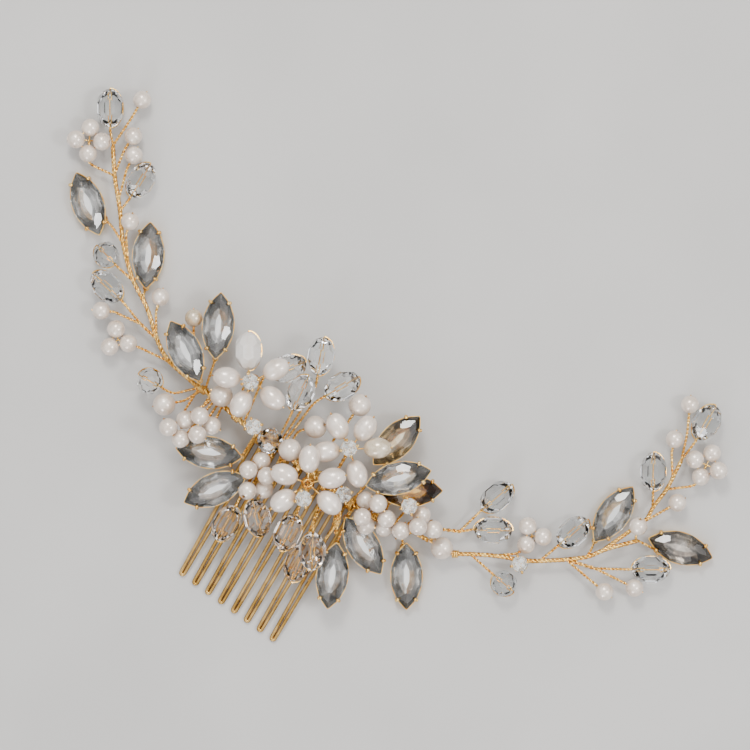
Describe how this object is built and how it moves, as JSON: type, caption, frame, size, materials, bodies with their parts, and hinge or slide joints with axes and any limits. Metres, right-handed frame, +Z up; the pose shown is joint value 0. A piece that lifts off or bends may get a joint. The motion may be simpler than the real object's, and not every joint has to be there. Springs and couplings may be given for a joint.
{
  "type": "decorative hair comb",
  "caption": "Bridal wire hair comb with bead flowers, pearls, faceted crystals and claw-set stones in the middle and a soft bendable wire spray on each side.",
  "frame": {"origin": "Centre of the footprint of the whole part, on the surface it lies on.", "axes": "+Z is up out of the ornament's face, the comb teeth point to -Y, and the sprays reach left to -X and right to +X and up to +Y."},
  "size_m": [0.1699, 0.094, 0.018],
  "materials": {
    "gold_wire": "gold-plated soft wire, bright",
    "comb_metal": "gold-plated comb wire, a little duller",
    "setting_metal": "polished gold-plated settings",
    "round_pearl": "pearl coating, satin gloss",
    "petal_pearl": "pearl coating, satin gloss",
    "crystal": "clear cut glass",
    "foiled_stone": "cut glass with silver foil behind"
  },
  "bodies": {
    "comb": {"comb_teeth": "comb_metal", "comb_bar": "comb_metal", "bar_binding": "gold_wire", "spine_wire": "gold_wire", "spine_wraps": "gold_wire", "centre_twigs": "gold_wire", "petal_wires": "gold_wire", "flower_hubs": "gold_wire", "flower_left_petals": "petal_pearl", "flower_right_petals": "petal_pearl", "flower_middle_petals": "petal_pearl", "flower_stones": "foiled_stone", "flower_cups": "setting_metal", "centre_upper_stones": "foiled_stone", "centre_upper_settings": "setting_metal", "centre_lower_stones": "foiled_stone", "centre_lower_settings": "setting_metal", "centre_upper_ovals": "crystal", "centre_lower_ovals": "crystal", "centre_round_crystals": "crystal", "centre_big_pearls": "round_pearl", "centre_left_pearls": "round_pearl", "centre_middle_pearls": "round_pearl", "centre_right_pearls": "round_pearl", "centre_rhinestones": "foiled_stone", "centre_rhinestone_cups": "setting_metal"},
    "left_spray": {"left_bend_wire": "gold_wire", "left_stem": "gold_wire", "left_branch": "gold_wire", "left_twigs": "gold_wire", "left_small_pearls": "round_pearl", "left_pearl_clusters": "round_pearl", "left_oval_crystals": "crystal", "left_round_crystal": "crystal", "left_stones": "foiled_stone", "left_settings": "setting_metal"},
    "right_spray": {"right_bend_wire": "gold_wire", "right_link_pearl": "round_pearl", "right_stem": "gold_wire", "right_branches": "gold_wire", "right_twigs": "gold_wire", "right_small_pearls": "round_pearl", "right_pearl_clusters": "round_pearl", "right_oval_crystals": "crystal", "right_round_crystal": "crystal", "right_stones": "foiled_stone", "right_settings": "setting_metal", "right_rhinestone": "foiled_stone", "right_rhinestone_cup": "setting_metal"}
  },
  "joints": [
    {"name": "left_spray_bend", "type": "hinge", "parent": "comb", "child": "left_spray", "pos_m": [-0.0354, -0.00625, 0.0031], "axis": [-0.1921, -0.9814, 0], "range_deg": [-15, 60], "deforming": ["left_bend_wire"]},
    {"name": "right_spray_bend", "type": "hinge", "parent": "comb", "child": "right_spray", "pos_m": [0.0271, -0.0108, 0.003], "axis": [0, 1, 0], "range_deg": [-15, 60], "deforming": ["right_bend_wire"]}
  ]
}
